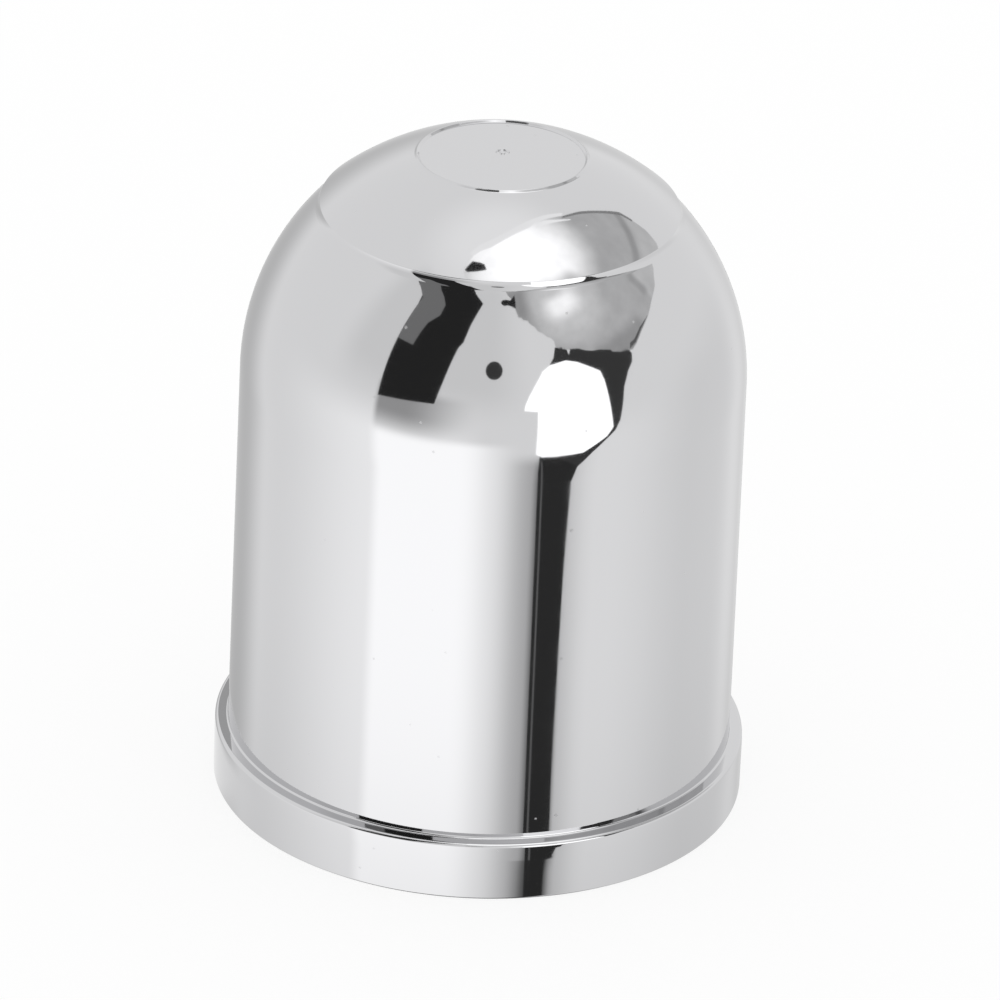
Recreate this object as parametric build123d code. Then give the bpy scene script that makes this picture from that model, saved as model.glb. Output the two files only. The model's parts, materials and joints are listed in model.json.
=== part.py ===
from build123d import *
import math
import os

# Push-on cover for a standard tow ball: one plated plastic moulding, open at the foot.
# Sizes are in millimetres and degrees. The axis is Z, and the underside of the rim is at z = 0.

# Ball that the cover grips, the room around it and the wall
ball_diameter = 50.0
ball_room = 2.45
wall = 2.0
top_wall = 2.0

# Rim
ledge_width = 1.55
ledge_fall = 0.06
rim_height = 7.12
rim_foot_bevel = 0.3
rim_edge_bevel = 0.3
ledge_bevel = 0.2

# Body and dome
body_draft = 0.41
dome_centre_height = 52.05

# Raised cap on the dome
cap_edge_radius = 20.6
cap_step = 0.52
cap_sphere_radius = 31.35
cap_edge_bevel = 0.25

# Flat top disc inside a raised bead, with the mark of the moulding gate near its centre
disc_radius = 9.45
bead_width = 0.54
bead_height = 0.29
gate_offset = 1.2
gate_radius = 0.8
gate_floor_radius = 0.6
gate_depth = 0.15

# Ribs that grip the ball
rib_grip = 0.2
rib_count = 8
rib_thickness = 1.5
rib_foot_rise = 1.6
rib_lead_angle = 30.0


def corner_of(face, point):
    """Find the corner of a flat profile that lies nearest to the given point."""
    return face.vertices().sort_by_distance(point)[0]


# Outer form: a drafted body that runs tangent into a dome centred on the axis
ball_radius = ball_diameter / 2
body_foot_radius = ball_radius + ball_room + wall
rim_radius = body_foot_radius + ledge_width
draft_slope = math.tan(math.radians(body_draft))
dome_rise = dome_centre_height - rim_height
dome_radius = (body_foot_radius - dome_rise * draft_slope) * math.cos(math.radians(body_draft))
cap_foot_angle = math.degrees(math.acos(cap_edge_radius / dome_radius))
dome_arc = CenterArc((0, dome_centre_height), dome_radius, body_draft, cap_foot_angle - body_draft)

# The cap is a flatter zone of a larger sphere, standing one small step proud of the dome
cap_edge_height = (dome_arc @ 1).Y + cap_step
cap_edge_angle = math.degrees(math.acos(cap_edge_radius / cap_sphere_radius))
cap_centre_height = cap_edge_height - cap_sphere_radius * math.sin(math.radians(cap_edge_angle))
bead_radius = disc_radius + bead_width
cap_top_angle = math.degrees(math.acos(bead_radius / cap_sphere_radius))
cap_arc = CenterArc((0, cap_centre_height), cap_sphere_radius, cap_edge_angle, cap_top_angle - cap_edge_angle)

# The disc is flat and level with the inner edge of the cap
disc_height = (cap_arc @ 1).Y

# The ledge falls a little from the body to the rim's edge
rim_edge_height = rim_height - ledge_fall
foot_line = Polyline(
    (0, 0),
    (rim_radius, 0),
    (rim_radius, rim_edge_height),
    (body_foot_radius, rim_height),
    dome_arc @ 0,
)
step_line = Line(dome_arc @ 1, cap_arc @ 0)
top_line = Polyline(
    cap_arc @ 1,
    (disc_radius + bead_width / 2, disc_height + bead_height),
    (disc_radius, disc_height),
    (0, disc_height),
    (0, 0),
)
outer_face = make_face([foot_line, dome_arc, step_line, cap_arc, top_line])
outer_face = chamfer(corner_of(outer_face, (rim_radius, 0)), rim_foot_bevel)
outer_face = chamfer(corner_of(outer_face, (rim_radius, rim_edge_height)), rim_edge_bevel)
outer_face = chamfer(corner_of(outer_face, (body_foot_radius, rim_height)), ledge_bevel)
outer_face = chamfer(corner_of(outer_face, cap_arc @ 0), cap_edge_bevel)
outer_form = revolve(Plane.XZ * outer_face, Axis.Z)

# The gate mark is a shallow pit with slanted sides
gate_pit = Pos(0, gate_offset, disc_height - gate_depth) * Cone(
    gate_floor_radius, gate_radius, gate_depth, align=(Align.CENTER, Align.CENTER, Align.MIN)
)
outer_form -= gate_pit

# Hollow: the outer form less an even wall, with a flat ceiling under the disc
hollow_rim_radius = rim_radius - wall
hollow_ledge_height = rim_height - wall
hollow_dome_arc = CenterArc((0, dome_centre_height), dome_radius - wall, body_draft, 90 - body_draft)
hollow_wall_top = hollow_dome_arc @ 0
hollow_foot_radius = hollow_wall_top.X + (hollow_wall_top.Y - hollow_ledge_height) * draft_slope
hollow_line = Polyline(
    hollow_dome_arc @ 1,
    (0, 0),
    (hollow_rim_radius, 0),
    (hollow_rim_radius, hollow_ledge_height),
    (hollow_foot_radius, hollow_ledge_height),
    hollow_wall_top,
)
hollow_face = make_face([hollow_line, hollow_dome_arc])
ceiling_height = disc_height - top_wall
above_ceiling = Pos(0, ceiling_height) * Rectangle(
    2 * rim_radius, disc_height, align=(Align.CENTER, Align.MIN)
)
hollow = revolve(Plane.XZ * (hollow_face - above_ceiling), Axis.Z)

# Grip ribs: upright fins that narrow the hollow to a little less than the ball, with a slanted lead-in
rib_radius = ball_radius - rib_grip
rib_foot_height = rim_height + rib_foot_rise
rib_lead = (body_foot_radius - rib_radius) / math.tan(math.radians(rib_lead_angle))
rib_face = make_face(
    Polyline(
        (body_foot_radius, rib_foot_height),
        (body_foot_radius, ceiling_height),
        (rib_radius, ceiling_height),
        (rib_radius, rib_foot_height + rib_lead),
        (body_foot_radius, rib_foot_height),
    )
)
rib = extrude(Plane.XZ * rib_face, amount=rib_thickness / 2, both=True)
ribs = PolarLocations(0, rib_count) * rib

# The ribs are left standing when the hollow is taken out of the outer form
cover_shell = outer_form - (hollow - ribs)

os.makedirs("parts", exist_ok=True)
export_step(cover_shell, "parts/cover_shell.step")
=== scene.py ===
import json
import math

import bmesh
import bpy
from mathutils import Matrix, Vector


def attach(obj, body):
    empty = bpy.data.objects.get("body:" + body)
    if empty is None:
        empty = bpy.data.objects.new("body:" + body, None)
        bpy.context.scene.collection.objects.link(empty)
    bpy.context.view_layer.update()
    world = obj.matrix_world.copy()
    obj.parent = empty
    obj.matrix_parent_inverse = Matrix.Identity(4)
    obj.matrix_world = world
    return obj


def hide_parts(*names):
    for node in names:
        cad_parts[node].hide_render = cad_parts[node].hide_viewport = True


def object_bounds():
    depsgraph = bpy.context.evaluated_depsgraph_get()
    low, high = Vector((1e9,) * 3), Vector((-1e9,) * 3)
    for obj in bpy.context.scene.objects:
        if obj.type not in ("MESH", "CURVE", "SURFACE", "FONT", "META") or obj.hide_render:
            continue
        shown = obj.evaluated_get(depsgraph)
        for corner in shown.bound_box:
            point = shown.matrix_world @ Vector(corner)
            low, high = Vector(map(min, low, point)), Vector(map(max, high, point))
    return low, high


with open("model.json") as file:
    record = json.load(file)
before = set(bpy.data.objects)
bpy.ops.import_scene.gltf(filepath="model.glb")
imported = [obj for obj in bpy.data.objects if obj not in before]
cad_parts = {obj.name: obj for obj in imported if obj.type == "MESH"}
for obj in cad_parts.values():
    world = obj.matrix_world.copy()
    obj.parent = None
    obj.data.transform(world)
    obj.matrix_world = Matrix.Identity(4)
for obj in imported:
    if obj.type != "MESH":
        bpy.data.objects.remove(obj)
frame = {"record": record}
cad_low, cad_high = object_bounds()
plating = frame["record"]["materials"][0]

MM = 0.001

# Sizes of the cover in millimetres and degrees: the rim and the height come from the frame
rim_radius = cad_high.x / MM
top_height = cad_high.z / MM
wall = 2.0
ledge_width = 1.55
ledge_fall = 0.06
rim_height = 7.12
rim_crown_height = 1.4
rim_crown_slant = 0.05
body_draft = 0.41
dome_centre_height = 52.05
cap_edge_radius = 20.6
cap_step = 0.52
cap_step_slant = 0.085
cap_sphere_radius = 31.35
disc_radius = 9.41
bead_width = 0.58
bead_height = 0.29
gate_offset = 1.2
gate_radius = 0.8
gate_floor_radius = 0.72
gate_depth = 0.15
gate_stub_radius = 0.34
gate_stub_slant = 0.07
gate_stub_height = 0.13
rib_radius = 24.8
rib_count = 8
rib_thickness = 1.5
rib_foot_rise = 1.6
rib_lead_angle = 30.0

# Rounds on the edges of the moulding
rim_foot_round = 0.3
rim_edge_round = 0.42
rim_crown_round = 40.0
ledge_round = 0.26
cap_foot_round = 1.4
cap_edge_round = 0.1
bead_inner_round = 0.1
bead_top_round = 0.12
bead_outer_round = 0.25
gate_round = 0.08
inner_round = 0.4

# Fineness of the mesh
outer_spacing = 0.5
inner_spacing = 1.2
wall_spacing = 4.0
round_step = 12.0
plain_columns = 26
weld_distance = 0.5e-6
sharp_angle = 40.0
normal_layer = "smooth_normal"

# Plating: scales are per metre, heights in metres
noise_span = (0.3, 0.7)
polish_scale = 220.0
polish_detail = 4.0
polish_roughness = (0.03, 0.055)
speck_scale = 260.0
speck_edge = (0.03, 0.06)
speck_roughness = 0.3
wave_scale = 70.0
wave_detail = 1.0
wave_height = 6e-6

# Camera, measured from the photograph's outline
photo_pixels = 1000
sensor_width = 36.0
focal_pixels = 7938.0
camera_distance = 918.0
camera_elevation = 26.44
camera_roll = 2.42
target_height = 40.0
target_pixel = (489.4, 465.9)


def direction(azimuth, elevation):
    """Unit vector for degrees around the axis, 0 towards the camera, and degrees above the horizon."""
    a = math.radians(azimuth)
    e = math.radians(elevation)
    return Vector((math.cos(e) * math.sin(a), -math.cos(e) * math.cos(a), math.sin(e)))


# Profile of the moulding
def run(start, end, spacing):
    """Points along a straight run, without its ends."""
    a = Vector(start)
    b = Vector(end)
    count = max(1, round((b - a).length / spacing))
    return [(*a.lerp(b, i / count), 0.0) for i in range(1, count)]


def arc(centre_height, radius, start, end, spacing):
    """Points of a circle centred on the axis, between two angles above the horizontal, ends included."""
    count = max(1, round(abs(math.radians(end - start)) * radius / spacing))
    angles = [math.radians(start + (end - start) * i / count) for i in range(count + 1)]
    return [(radius * math.cos(a), centre_height + radius * math.sin(a), 0.0) for a in angles]


def with_round(point, radius):
    """The same point as a corner that gets a round."""
    return (point[0], point[1], radius)


def rounded(before, corner, after):
    """Points of one corner of the profile: the corner itself, or an arc tangent to the runs beside it."""
    here = Vector(corner[:2])
    radius = corner[2]
    if not radius:
        return [here]
    back = (Vector(before[:2]) - here).normalized()
    ahead = (Vector(after[:2]) - here).normalized()
    half = back.angle(ahead) / 2
    trim = radius / math.tan(half)
    centre = here + (back + ahead).normalized() * (radius / math.sin(half))
    first = here + back * trim - centre
    last = here + ahead * trim - centre
    count = max(2, round(math.degrees(math.pi - 2 * half) / round_step))
    return [centre + first.slerp(last, k / count) * radius for k in range(count + 1)]


def profile_points(corners, start, end):
    """Points of the corners from one index up to another, rounds included."""
    points = []
    for i in range(start, end):
        points += rounded(corners[max(i - 1, 0)], corners[i], corners[min(i + 1, len(corners) - 1)])
    return points


body_foot_radius = rim_radius - ledge_width
rim_edge_height = rim_height - ledge_fall
draft_slope = math.tan(math.radians(body_draft))
dome_rise = dome_centre_height - rim_height
dome_radius = (body_foot_radius - dome_rise * draft_slope) * math.cos(math.radians(body_draft))
cap_foot_angle = math.degrees(math.acos((cap_edge_radius + cap_step_slant) / dome_radius))
cap_edge_angle = math.degrees(math.acos(cap_edge_radius / cap_sphere_radius))
cap_edge_height = dome_centre_height + math.sqrt(dome_radius**2 - cap_edge_radius**2) + cap_step
cap_centre_height = cap_edge_height - cap_sphere_radius * math.sin(math.radians(cap_edge_angle))
bead_radius = disc_radius + bead_width
cap_top_angle = math.degrees(math.acos(bead_radius / cap_sphere_radius))
disc_height = top_height - bead_height
gate_floor = disc_height - gate_depth
gate_stub_top = gate_floor + gate_stub_height

cap_points = arc(cap_centre_height, cap_sphere_radius, cap_top_angle, cap_edge_angle, outer_spacing)
dome_points = arc(dome_centre_height, dome_radius, cap_foot_angle, body_draft, outer_spacing)
body_foot = (body_foot_radius, rim_height)
gate_corners = [
    (0.0, gate_stub_top, 0.0),
    (gate_stub_radius - gate_stub_slant, gate_stub_top, gate_round),
    (gate_stub_radius, gate_floor, gate_round),
    (gate_floor_radius, gate_floor, gate_round),
    (gate_radius, disc_height, gate_round),
]
outer_corners = [
    *gate_corners,
    *run((gate_radius, disc_height), (disc_radius, disc_height), wall_spacing),
    (disc_radius, disc_height, bead_inner_round),
    (disc_radius + bead_width / 2, top_height, bead_top_round),
    with_round(cap_points[0], bead_outer_round),
    *cap_points[1:-1],
    with_round(cap_points[-1], cap_edge_round),
    with_round(dome_points[0], cap_foot_round),
    *dome_points[1:],
    *run(dome_points[-1][:2], body_foot, wall_spacing),
    with_round(body_foot, ledge_round),
    (rim_radius - rim_crown_slant, rim_edge_height, rim_edge_round),
    (rim_radius, rim_edge_height - rim_crown_height, rim_crown_round),
    *run((rim_radius, rim_edge_height - rim_crown_height), (rim_radius, 0), wall_spacing),
    (rim_radius, 0.0, rim_foot_round),
]

hollow_rim_radius = rim_radius - wall
hollow_ledge_height = rim_height - wall
hollow_dome_radius = dome_radius - wall
ceiling_height = disc_height - wall
ceiling_angle = math.degrees(math.asin((ceiling_height - dome_centre_height) / hollow_dome_radius))
hollow_points = arc(dome_centre_height, hollow_dome_radius, body_draft, ceiling_angle, inner_spacing)
hollow_top = hollow_points[0]
hollow_foot_radius = hollow_top[0] + (hollow_top[1] - hollow_ledge_height) * draft_slope

# Ribs: where the slanted lead-in leaves the wall and where it reaches the rib's inner edge
lead_slope = math.tan(math.radians(rib_lead_angle))
rib_foot_height = rim_height + rib_foot_rise
rib_lead_top = rib_foot_height + (body_foot_radius - rib_radius) / lead_slope
wall_at_foot = hollow_foot_radius - (rib_foot_height - hollow_ledge_height) * draft_slope
rib_start = rib_foot_height + (body_foot_radius - wall_at_foot) / (lead_slope - draft_slope)


def wall_point(height):
    """Point of the hollow's drafted wall at a height."""
    return (hollow_foot_radius - (height - hollow_ledge_height) * draft_slope, height)


inner_corners = [
    (hollow_rim_radius, 0.0, rim_foot_round),
    (hollow_rim_radius, hollow_ledge_height, inner_round),
    (hollow_foot_radius, hollow_ledge_height, inner_round),
    (*wall_point(rib_start), 0.0),
    *run(wall_point(rib_start), wall_point(rib_lead_top), inner_spacing),
    (*wall_point(rib_lead_top), 0.0),
    *run(wall_point(rib_lead_top), hollow_top[:2], wall_spacing),
    *hollow_points[:-1],
    with_round(hollow_points[-1], inner_round),
    *run(hollow_points[-1][:2], (0.0, ceiling_height), wall_spacing),
    (0.0, ceiling_height, 0.0),
]


# Mesh of the moulding
def rib_edge(height):
    """Distance from the axis to a rib's inner edge at a height."""
    return max(rib_radius, body_foot_radius - (height - rib_foot_height) * lead_slope)


def ring_columns():
    """Columns around the axis: (degrees, side of a rib or None, whether the column is on the rib)."""
    sector = 360.0 / rib_count
    rib_half_angle = math.degrees(math.asin(rib_thickness / 2 / hollow_foot_radius))
    gap = sector - 2 * rib_half_angle
    columns = []
    for k in range(rib_count):
        middle = k * sector
        for side, on_rib in ((-1, False), (-1, True), (0, True), (1, True), (1, False)):
            columns.append((middle, side, on_rib))
        for i in range(1, plain_columns + 1):
            columns.append((middle + rib_half_angle + gap * i / (plain_columns + 1), None, False))
    return columns, rib_half_angle


def lathe_point(point, column, rib_half_angle, ribbed):
    """Place a profile point on a column, moved in to the rib's edge where the column is on a rib."""
    radius, height = point
    degrees, side, on_rib = column
    if side is None:
        local = Vector((radius, 0, height))
    elif ribbed:
        across = side * rib_thickness / 2
        along = math.sqrt(radius**2 - across**2)
        if on_rib:
            along = min(along, rib_edge(height))
        local = Vector((along, across, height))
    else:
        turn = Matrix.Rotation(math.radians(side * rib_half_angle), 3, "Z")
        local = turn @ Vector((radius, 0, height))
    return Matrix.Rotation(math.radians(degrees), 3, "Z") @ local * MM


def make_cover(name):
    """Turn the profile into one closed mesh, with the exact normals of the outer profile."""
    corners = outer_corners + inner_corners
    outer = profile_points(corners, 0, len(outer_corners))
    profile = outer + profile_points(corners, len(outer_corners), len(corners))
    gate_rows = len(profile_points(corners, 0, len(gate_corners)))
    columns, rib_half_angle = ring_columns()
    bm = bmesh.new()
    smooth = bm.verts.layers.float_vector.new(normal_layer)
    rows = []
    for i, point in enumerate(profile):
        ribbed = i >= len(outer) and rib_start - inner_round <= point.y < ceiling_height - inner_round
        row = []
        for column in columns:
            vertex = bm.verts.new(lathe_point(point, column, rib_half_angle, ribbed))
            if i < len(outer):
                chord = profile[i + 1] - profile[max(i - 1, 0)]
                away = Vector((vertex.co.x, vertex.co.y, 0)).normalized()
                vertex[smooth] = (away * -chord.y + Vector((0, 0, chord.x))).normalized()
            if i < gate_rows:
                vertex.co.y += gate_offset * MM
            row.append(vertex)
        rows.append(row)
    for upper, lower in zip(rows, rows[1:]):
        for j in range(len(columns)):
            k = (j + 1) % len(columns)
            bm.faces.new((upper[j], lower[j], lower[k], upper[k]))
    bmesh.ops.remove_doubles(bm, verts=bm.verts, dist=weld_distance)
    bmesh.ops.dissolve_degenerate(bm, edges=bm.edges, dist=weld_distance)
    mesh = bpy.data.meshes.new(name)
    bm.to_mesh(mesh)
    bm.free()
    mesh.shade_smooth()
    mesh.set_sharp_from_angle(angle=math.radians(sharp_angle))
    stored = mesh.attributes[normal_layer]
    mesh.normals_split_custom_set([stored.data[loop.vertex_index].vector for loop in mesh.loops])
    mesh.attributes.remove(mesh.attributes[normal_layer])
    cover = bpy.data.objects.new(name, mesh)
    bpy.context.scene.collection.objects.link(cover)
    return cover


# Materials
def add_node(tree, kind, links=None, **inputs):
    """Add a shader node, set its constant inputs and link sockets to its other inputs."""
    node = tree.nodes.new(kind)
    for key, value in inputs.items():
        node.inputs[key.replace("_", " ")].default_value = value
    for key, socket in (links or {}).items():
        tree.links.new(socket, node.inputs[key])
    return node


def spread(tree, value, span, results):
    """Map range node that turns a span of the value into a span of results."""
    return add_node(tree, "ShaderNodeMapRange", {"Value": value},
                    From_Min=span[0], From_Max=span[1], To_Min=results[0], To_Max=results[1])


def chrome_material(name):
    """Bright chrome plating: a mirror with faint waves, an uneven polish and fine dust specks."""
    material = bpy.data.materials.new(name)
    material.use_nodes = True
    tree = material.node_tree
    shader = tree.nodes["Principled BSDF"]
    shader.inputs["Base Color"].default_value = (*plating["base_color"], 1.0)
    shader.inputs["Metallic"].default_value = 1.0
    place = tree.nodes.new("ShaderNodeTexCoord").outputs["Object"]

    polish = add_node(tree, "ShaderNodeTexNoise", {"Vector": place},
                      Scale=polish_scale, Detail=polish_detail)
    gloss = spread(tree, polish.outputs["Fac"], noise_span, polish_roughness)
    specks = add_node(tree, "ShaderNodeTexVoronoi", {"Vector": place}, Scale=speck_scale)
    dust = spread(tree, specks.outputs["Distance"], speck_edge, (speck_roughness, 0.0))
    rough = add_node(tree, "ShaderNodeMath", {0: gloss.outputs["Result"], 1: dust.outputs["Result"]})
    tree.links.new(rough.outputs["Value"], shader.inputs["Roughness"])

    waves = add_node(tree, "ShaderNodeTexNoise", {"Vector": place}, Scale=wave_scale, Detail=wave_detail)
    bump = add_node(tree, "ShaderNodeBump", {"Height": waves.outputs["Fac"]}, Distance=wave_height)
    tree.links.new(bump.outputs["Normal"], shader.inputs["Normal"])
    return material


def fade(tree, value, start, end, rising):
    """Socket that goes smoothly from 0 to 1, or from 1 to 0, while the value goes from start to end."""
    node = spread(tree, value, (start, end), (0.0, 1.0) if rising else (1.0, 0.0))
    node.interpolation_type = "SMOOTHSTEP"
    return node.outputs["Result"]


def blend(tree, tone, share, brightness):
    """Socket with a part of the tone replaced by a brightness."""
    node = add_node(tree, "ShaderNodeMix", {"Factor": share}, B=brightness)
    if isinstance(tone, float):
        node.inputs["A"].default_value = tone
    else:
        tree.links.new(tone, node.inputs["A"])
    return node.outputs["Result"]


def spot_share(tree, heading, azimuth, elevation, inner, outer):
    """Socket that is 1 around a direction, up to the inner angle, and 0 from the outer angle on."""
    facing = add_node(tree, "ShaderNodeVectorMath", {0: heading})
    facing.operation = "DOT_PRODUCT"
    facing.inputs[1].default_value = direction(azimuth, elevation)
    start = math.cos(math.radians(outer))
    end = math.cos(math.radians(inner))
    return fade(tree, facing.outputs["Value"], start, end, True)


def panel_share(tree, bearings, limits):
    """Socket that is 1 inside limits of azimuth and of elevation: starts, is full, is full to and ends."""
    share = None
    for bearing, angles in zip(bearings, limits):
        start, full_from, full_to, end = [math.radians(angle) for angle in angles]
        for edge in (fade(tree, bearing, start, full_from, True), fade(tree, bearing, full_to, end, False)):
            if share is None:
                share = edge
                continue
            both = add_node(tree, "ShaderNodeMath", {0: share, 1: edge})
            both.operation = "MULTIPLY"
            share = both.outputs["Value"]
    return share


def bearings_of(tree, heading):
    """Sockets with the azimuth and the elevation of a direction."""
    parts = add_node(tree, "ShaderNodeSeparateXYZ", {"Vector": heading})
    front = add_node(tree, "ShaderNodeMath", {0: parts.outputs["Y"]})
    front.operation = "MULTIPLY"
    front.inputs[1].default_value = -1.0
    azimuth = add_node(tree, "ShaderNodeMath", {0: parts.outputs["X"], 1: front.outputs["Value"]})
    azimuth.operation = "ARCTAN2"
    elevation = add_node(tree, "ShaderNodeMath", {0: parts.outputs["Z"]})
    elevation.operation = "ARCSINE"
    return azimuth.outputs["Value"], elevation.outputs["Value"]


def with_areas(tree, heading, tone, areas):
    """Add soft areas one over another, each with its brightness at the end.

    A spot has azimuth, elevation, inner and outer angle; a panel has limits of azimuth and of elevation.
    """
    bearings = bearings_of(tree, heading)
    for *place, brightness in areas:
        if len(place) == 4:
            share = spot_share(tree, heading, *place)
        else:
            share = panel_share(tree, bearings, place)
        tone = blend(tree, tone, share, brightness)
    return tone


def with_folds(tree, heading, tone, depth):
    """Make the light uneven by a share, as on folded cloth."""
    stretched = add_node(tree, "ShaderNodeVectorMath", {0: heading})
    stretched.operation = "MULTIPLY"
    stretched.inputs[1].default_value = fold_stretch
    folds = add_node(tree, "ShaderNodeTexNoise", {"Vector": stretched.outputs["Vector"]},
                     Scale=1.0, Detail=fold_detail)
    gain = spread(tree, folds.outputs["Fac"], noise_span, (1.0 - depth, 1.0 + depth))
    uneven = add_node(tree, "ShaderNodeMath", {0: tone, 1: gain.outputs["Result"]})
    uneven.operation = "MULTIPLY"
    return uneven.outputs["Value"]


def light_material(name, tone, areas=(), folds=0.0):
    """Plain light of one brightness, or with soft areas and folds."""
    material = bpy.data.materials.new(name)
    material.use_nodes = True
    material.cycles.emission_sampling = "NONE"
    tree = material.node_tree
    tree.nodes.clear()
    light = add_node(tree, "ShaderNodeEmission", Strength=tone)
    if areas:
        place = tree.nodes.new("ShaderNodeTexCoord")
        heading = add_node(tree, "ShaderNodeVectorMath", {0: place.outputs["Object"]})
        heading.operation = "NORMALIZE"
        strength = with_areas(tree, heading.outputs["Vector"], tone, areas)
        if folds:
            strength = with_folds(tree, heading.outputs["Vector"], strength, folds)
        tree.links.new(strength, light.inputs["Strength"])
    add_node(tree, "ShaderNodeOutputMaterial", {"Surface": light.outputs["Emission"]})
    return material


# Light tent around the cover, in metres: white cloth with softly lit and shaded areas
from_back = (-181, -180.5)
to_back = (180.5, 181)
whole_round = (*from_back, *to_back)
below = (-91, -90.5)
above = (90.5, 91)
tent_radius = 8.0
tent_subdivisions = 5
tent_tone = 1.0
tent_areas = [
    (whole_round, (58, 80, *above), 1.14),
    ((-115, -45, -20, 0), (*below, -12, 6), 1.28),
    (-165, -20, 4, 40.5, 0.6),
    ((41, 50, 56, 88), (*below, -12, 5), 1.08),
    ((28, 29, 33, 45), (*below, -20, -12), 0.78),
    ((75, 105, 125, 150), (*below, -10, 10), 0.92),
    ((140, 165, *to_back), (*below, -10, 10), 0.8),
    ((*from_back, -180, -164), (*below, -12, 6), 0.72),
    ((164, 180, *to_back), (*below, -12, 6), 0.72),
    ((2, 24, 31.5, 36), (*below, -18, -10), 0.54),
    ((27, 28, 32, 36.2), (-29.4, -29, -24, -16), 0.1),
    ((27, 28, 29.8, 33.8), (*below, -29.4, -29), 0.1),
    ((18.6, 23.9, 24.4, 25), (*below, -20, -12), 0.12),
    ((13, 25.5, 26, 27), (*below, -29.4, -28.8), 0.12),
    ((-56, -49, -15, 15), (*below, -10, -5.5), 1.52),
    ((-84, -66, -4, 22), (0, 20, 60, 66), 0.87),
    ((-54.5, -51, -40, -5), (-11.5, 2, 9, 14), 0.42),
    (whole_round, (*below, -72, -58), 0.3),
]

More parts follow.
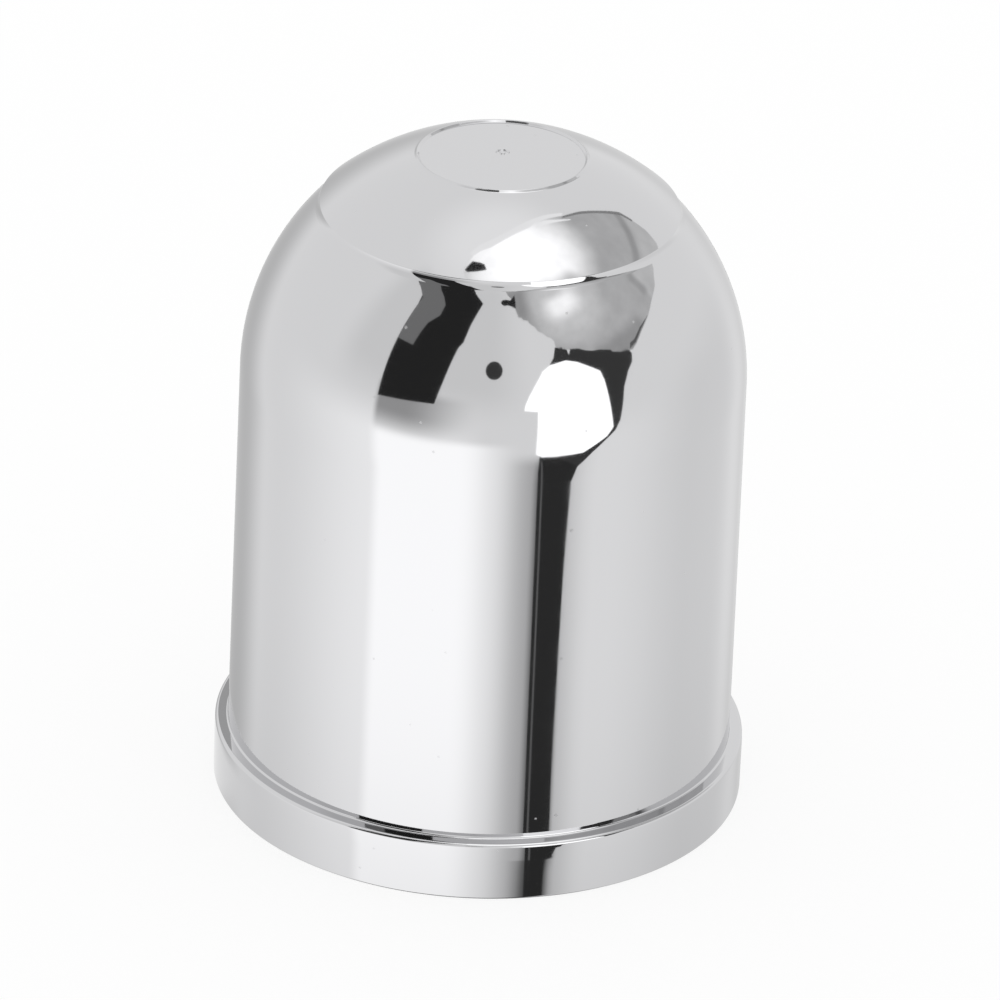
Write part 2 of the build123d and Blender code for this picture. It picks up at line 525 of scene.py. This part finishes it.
# Cards and gaps of the studio: distance in metres, brightness and an outline of (azimuth, elevation)
behind = 4.5
far = 4.0
middle = 3.5
near = 3.0
lens_centre = (0.4, 26.6)
lens_size = (4.2, 4.1)
lens_step = 15
cards = {
    "opening": (far, 0.025, [
        (-52.5, 5), (-26, 8.5), (-24, 17), (-21.5, 28), (-19.6, 34.5), (-17.4, 37.5), (-15.2, 46),
        (-10, 56), (-23, 62), (-30, 62.5), (-45, 60), (-58, 57), (-72, 53), (-60, 52.2), (-54.5, 50),
        (-53, 46),
    ]),
    "opening_flap": (middle, 0.22, [
        (-53, 49.5), (-52.5, 30), (-43.5, 30), (-42.5, 35.5), (-41, 41), (-36, 46), (-36, 51),
        (-40, 54), (-48, 57), (-58, 56), (-67, 54), (-60, 52.2),
    ]),
    "top_gap": (middle, 0.03, [
        (-47.5, 73.4), (-50.5, 77.9), (-38, 79.2), (-28, 79.4), (-19, 77.3), (-31, 75.3), (-42.5, 73),
    ]),
    "surround": (far, 0.054, [
        (28, 27), (31, 30), (33, 34.2), (36.5, 33.8), (39, 32.5), (39.3, 29.6), (41, 32), (48, 30.2),
        (52, 28), (57, 28.3), (62, 27), (66, 24), (70.5, 22.2), (71.5, 19), (70, 16.3), (66.5, 14),
        (62.5, 9), (60.5, 3), (58.5, -3), (56, -6.5), (50, -10.4), (45.5, -13.5), (42, -16.5),
        (39, -19), (30, -14),
    ]),
    "softbox": (middle, 1.8, [
        (28.5, 27.3), (37, 27.8), (42.5, 25.8), (50, 21), (52.7, 19), (53.6, 15), (54.6, 0), (55, -5),
        (52, -8), (41, -13), (22.5, -13), (19.8, -11.5), (20.6, 7.4), (22.5, 18), (24, 25),
    ]),
    "softbox_flap": (middle, 1.8, [
        (21.5, 7.5), (14.5, 8.5), (15, 11), (17, 15), (20, 19.5), (24.5, 25.3), (24.5, 15),
    ]),
    "stand": (far, 0.034, [
        (21.5, -12.5), (39.5, -14.5), (39.3, -18), (38.2, -22), (37.3, -25.3), (35.3, -26.3),
        (33.9, -28), (34.4, -28.7), (33.4, -29), (30.6, -29.6), (30.2, -60), (22.8, -60), (22.4, -31),
        (21.9, -26), (21.4, -20),
    ]),
    "cloth": (far, 0.6, [
        (15.5, 60.5), (14.1, 57.2), (14.2, 53.5), (15.4, 50), (17.5, 49.6), (18.2, 48.6), (21, 48),
        (22, 46.5), (24.5, 44.8), (26, 42.6), (28.5, 41.2), (30.4, 39.4), (32.5, 38.4), (33.6, 36.9),
        (33.5, 34), (39, 32), (48, 29), (57, 26), (66, 22), (72.7, 20.1), (76, 21), (82, 23.2),
        (90, 24.8), (97, 26.4), (105.5, 27), (109, 28), (120, 29), (129, 28.8), (133, 31), (136, 35),
        (138.3, 38), (138, 46), (138, 54), (137, 61), (139, 68.5), (139, 72.5), (136, 76), (137, 80.3),
        (140, 84.8), (160, 88.6), (-62, 86.8), (-64, 83.2), (-60, 79.6), (-52, 76), (-47, 72.6),
        (-40, 70.8), (-22, 69), (0, 65),
    ]),
    "cloth_back": (behind, 1.2, [
        (139.6, 60), (143, 66.5), (146, 72.7), (155, 81.6), (-155, 86.5), (-87, 83), (-70, 79.3),
        (-60, 79.6), (0, 85), (120, 80), (130, 65),
    ]),
    "cloth_fold": (middle, 1.28, [
        (137.6, 69), (134.8, 64.4), (133, 59.4), (132.2, 59.7), (132.4, 65), (132.6, 70), (131.5, 74),
        (136, 72.5),
    ]),
    "cloth_hem": (middle, 0.3, [
        (135, 62.5), (136.8, 61), (138.2, 54), (138.2, 46), (138.7, 38), (136, 34.6), (135, 35.2),
        (137, 38.3), (136.7, 46), (136.4, 54), (135.2, 61),
    ]),
    "cloth_corner": (middle, 0.14, [
        (71.5, 21), (76, 21.6), (82, 23.8), (90, 25.2), (82, 24.7), (76, 22.9), (73, 22.8),
    ]),
    "seam": (middle, 0.12, [
        (-52, 62), (-44, 63), (-31, 65), (-16, 64), (-4, 63.6), (-4, 71), (-16, 70.6), (-30, 70),
        (-40, 69), (-52, 66.5),
    ]),
    "cloth_gap": (middle, 0.03, [
        (3.6, 57.2), (5, 58.3), (8, 58.4), (11, 58), (13, 59), (15.2, 60.2), (15, 57), (14.4, 54),
        (12, 55), (9, 55.8), (6, 55.6), (4.2, 56.3),
    ]),
    "lens": (near, 0.054, [
        (lens_centre[0] + lens_size[0] * math.cos(math.radians(t)),
         lens_centre[1] + lens_size[1] * math.sin(math.radians(t))) for t in range(0, 360, lens_step)
    ]),
    "strip_line": (middle, 0.15, [
        (22.3, -15), (22.9, -15), (24.2, -26), (24.6, -29.2), (23.7, -29.2), (23.4, -26),
    ]),
    "back_card": (far, 0.47, [(-178.8, 26), (-168, 24), (-168, 34), (-178.8, 34)]),
    "back_strip": (far, 0.04, [(175, -22), (185, -22), (187, -60), (173, -60)]),
}
cloth_areas = [
    (58, 78.5, 3, 30, 1.72),
    ((-10, -9, 72, 84), (20, 21, 60, 67), 0.62),
    (50, 50, 0, 21, 0.86),
    ((-10, -9, 18, 29), (30, 31, 60, 63), 0.42),
    ((30, 43, 51, 68), (42.5, 50, 52, 57), 1.42),
    ((50, 56, 82, 88), (10, 11, 25, 32), 0.43),
    ((97, 100, 140, 141), (20, 21, 36, 39), 0.7),
    ((96, 99, 139, 140), (37.6, 39.3, 40, 42), 0.45),
    ((94.5, 97.5, 98.5, 102), (28, 31, 37, 40), 0.48),
]
cloth_folds = 0.06
fold_stretch = (9.0, 9.0, 12.0)
fold_detail = 4.0
card_cuts = 5


def stage_piece(name, mesh, height):
    """A piece of the studio, on the axis at a height, that only mirror-like surfaces see."""
    piece = bpy.data.objects.new("studio_" + name, mesh)
    piece.location.z = height
    piece.visible_camera = False
    piece.visible_diffuse = False
    piece.visible_transmission = False
    piece.visible_shadow = False
    bpy.context.scene.collection.objects.link(piece)


def stage_shell(name, bm, material):
    """A lit piece of the studio around the cover's middle."""
    mesh = bpy.data.meshes.new("studio_" + name)
    bm.to_mesh(mesh)
    bm.free()
    mesh.materials.append(material)
    stage_piece(name, mesh, target_height * MM)


def make_card(name, distance, material, outline):
    """A card with the given outline, curved so that it keeps its distance."""
    bm = bmesh.new()
    bm.faces.new([bm.verts.new(direction(a, e) * distance) for a, e in outline])
    bmesh.ops.triangulate(bm, faces=bm.faces)
    bmesh.ops.subdivide_edges(bm, edges=bm.edges, cuts=card_cuts, use_grid_fill=True)
    for vertex in bm.verts:
        vertex.co = vertex.co.normalized() * distance
    stage_shell(name, bm, material)


def make_tent():
    """The light tent, seen only in the plating."""
    bm = bmesh.new()
    bmesh.ops.create_icosphere(bm, subdivisions=tent_subdivisions, radius=tent_radius)
    stage_shell("tent", bm, light_material("studio_tent", tent_tone, tent_areas))


# Background
world_colour = (1, 1, 1, 1)
world_strength = 1.0


def make_world():
    """Plain white studio background and light."""
    world = bpy.data.worlds.new("studio")
    bpy.context.scene.world = world
    world.use_nodes = True
    back = world.node_tree.nodes["Background"]
    back.inputs["Color"].default_value = world_colour
    back.inputs["Strength"].default_value = world_strength


# Floor: plain white, with a soft shadow; its size is in metres, the other lengths are in millimetres
floor_size = 40.0
floor_drop = 0.02
floor_colour = (0.98, 0.98, 0.98, 1)
floor_white = 0.82
# Painted shade and a painted glow on a disc around the foot, seen only in the plating
shade_reach = 90.0
shade_depth = 0.12
shade_fall = 3.0
shade_segments = 96
foot_glow = 0.92
glow_near = 4.0
glow_reach = 8.0
glow_limits = (-130, -110, -80, -55)


def make_floor():
    """Plain white floor that keeps a soft shadow; it is clear when seen from below."""
    mesh = bpy.data.meshes.new("studio_floor")
    half = floor_size / 2
    drop = cad_low.z - floor_drop * MM
    corners = [(-half, -half, drop), (half, -half, drop), (half, half, drop), (-half, half, drop)]
    mesh.from_pydata(corners, [], [(0, 1, 2, 3)])
    floor = bpy.data.objects.new("studio_floor", mesh)
    bpy.context.scene.collection.objects.link(floor)
    floor.visible_glossy = False
    material = bpy.data.materials.new("studio_floor")
    material.use_nodes = True
    tree = material.node_tree
    tree.nodes.clear()
    matt = add_node(tree, "ShaderNodeBsdfDiffuse", Color=floor_colour)
    white = add_node(tree, "ShaderNodeEmission", Strength=1.0)
    path = tree.nodes.new("ShaderNodeLightPath")
    seen = add_node(tree, "ShaderNodeMath",
                    {0: path.outputs["Is Camera Ray"], 1: path.outputs["Is Glossy Ray"]})
    seen_through = add_node(tree, "ShaderNodeMath",
                            {0: seen.outputs["Value"], 1: path.outputs["Is Transmission Ray"]})
    share = add_node(tree, "ShaderNodeMath", {0: seen_through.outputs["Value"]})
    share.operation = "MULTIPLY"
    share.inputs[1].default_value = floor_white
    lit = add_node(tree, "ShaderNodeMixShader",
                   {"Fac": share.outputs["Value"], 1: matt.outputs["BSDF"], 2: white.outputs["Emission"]})
    side = tree.nodes.new("ShaderNodeNewGeometry")
    clear = tree.nodes.new("ShaderNodeBsdfTransparent")
    both = add_node(tree, "ShaderNodeMixShader",
                    {"Fac": side.outputs["Backfacing"], 1: lit.outputs["Shader"], 2: clear.outputs["BSDF"]})
    add_node(tree, "ShaderNodeOutputMaterial", {"Surface": both.outputs["Shader"]})
    mesh.materials.append(material)


def make_foot_shade():
    """Painted shade, and a painted glow on the left, on a disc on the floor close around the cover, that
    only the plating mirrors.
    """
    bm = bmesh.new()
    reach = (rim_radius + shade_reach) * MM
    bmesh.ops.create_circle(bm, cap_ends=True, segments=shade_segments, radius=reach)
    mesh = bpy.data.meshes.new("studio_foot_shade")
    bm.to_mesh(mesh)
    bm.free()
    material = bpy.data.materials.new("studio_foot_shade")
    material.use_nodes = True
    tree = material.node_tree
    tree.nodes.clear()
    place = tree.nodes.new("ShaderNodeTexCoord")
    distance = add_node(tree, "ShaderNodeVectorMath", {0: place.outputs["Object"]})
    distance.operation = "LENGTH"
    near_foot = spread(tree, distance.outputs["Value"], (rim_radius * MM, reach),
                       (shade_depth ** (1 / shade_fall), 0.0))
    depth = add_node(tree, "ShaderNodeMath", {0: near_foot.outputs["Result"]})
    depth.operation = "POWER"
    depth.inputs[1].default_value = shade_fall
    clear = tree.nodes.new("ShaderNodeBsdfTransparent")
    dark = add_node(tree, "ShaderNodeEmission", Strength=0.0)
    both = add_node(tree, "ShaderNodeMixShader",
                    {"Fac": depth.outputs["Value"], 1: clear.outputs["BSDF"], 2: dark.outputs["Emission"]})
    bearings = bearings_of(tree, place.outputs["Object"])
    beside = panel_share(tree, bearings, [glow_limits])
    glow_start = (rim_radius + glow_near) * MM
    glow_end = (rim_radius + glow_reach) * MM
    close = fade(tree, distance.outputs["Value"], glow_start, glow_end, False)
    glow_share = add_node(tree, "ShaderNodeMath", {0: beside, 1: close})
    glow_share.operation = "MULTIPLY"
    glow = add_node(tree, "ShaderNodeEmission", Strength=foot_glow)
    lit = add_node(tree, "ShaderNodeMixShader", {
        "Fac": glow_share.outputs["Value"],
        1: both.outputs["Shader"],
        2: glow.outputs["Emission"],
    })
    add_node(tree, "ShaderNodeOutputMaterial", {"Surface": lit.outputs["Shader"]})
    mesh.materials.append(material)
    stage_piece("foot_shade", mesh, cad_low.z - floor_drop * MM / 2)


def make_camera():
    """Camera at the photograph's angle, aimed so that the cover falls where the photograph has it."""
    data = bpy.data.cameras.new("camera")
    data.sensor_width = sensor_width
    data.lens = focal_pixels * sensor_width / photo_pixels
    target = Vector((0, 0, target_height * MM))
    back = direction(0, camera_elevation)
    right = Matrix.Rotation(math.radians(camera_roll), 3, back) @ Vector((1, 0, 0))
    up = back.cross(right)
    per_pixel = camera_distance / focal_pixels * MM
    offset = Vector((target_pixel[0] - photo_pixels / 2, target_pixel[1] - photo_pixels / 2)) * per_pixel
    place = target + back * camera_distance * MM
    aim = target - right * offset.x + up * offset.y
    back = (place - aim).normalized()
    right = up.cross(back).normalized()
    up = back.cross(right)
    turn = Matrix((right, up, back)).transposed().to_4x4()
    camera = bpy.data.objects.new("camera", data)
    camera.matrix_world = Matrix.Translation(place) @ turn
    bpy.context.scene.collection.objects.link(camera)
    bpy.context.scene.camera = camera


cover = make_cover("cover")
cover.data.materials.append(chrome_material("chrome_plating"))
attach(cover, "root")
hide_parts("cover_shell")

make_world()
make_tent()
make_floor()
make_foot_shade()
for card_name, (card_distance, card_tone, card_outline) in cards.items():
    if card_name == "cloth":
        card_light = light_material("studio_cloth", card_tone, cloth_areas, cloth_folds)
    else:
        card_light = light_material("studio_" + card_name, card_tone)
    make_card(card_name, card_distance, card_light, card_outline)
make_camera()
bpy.context.scene.view_settings.view_transform = "Standard"
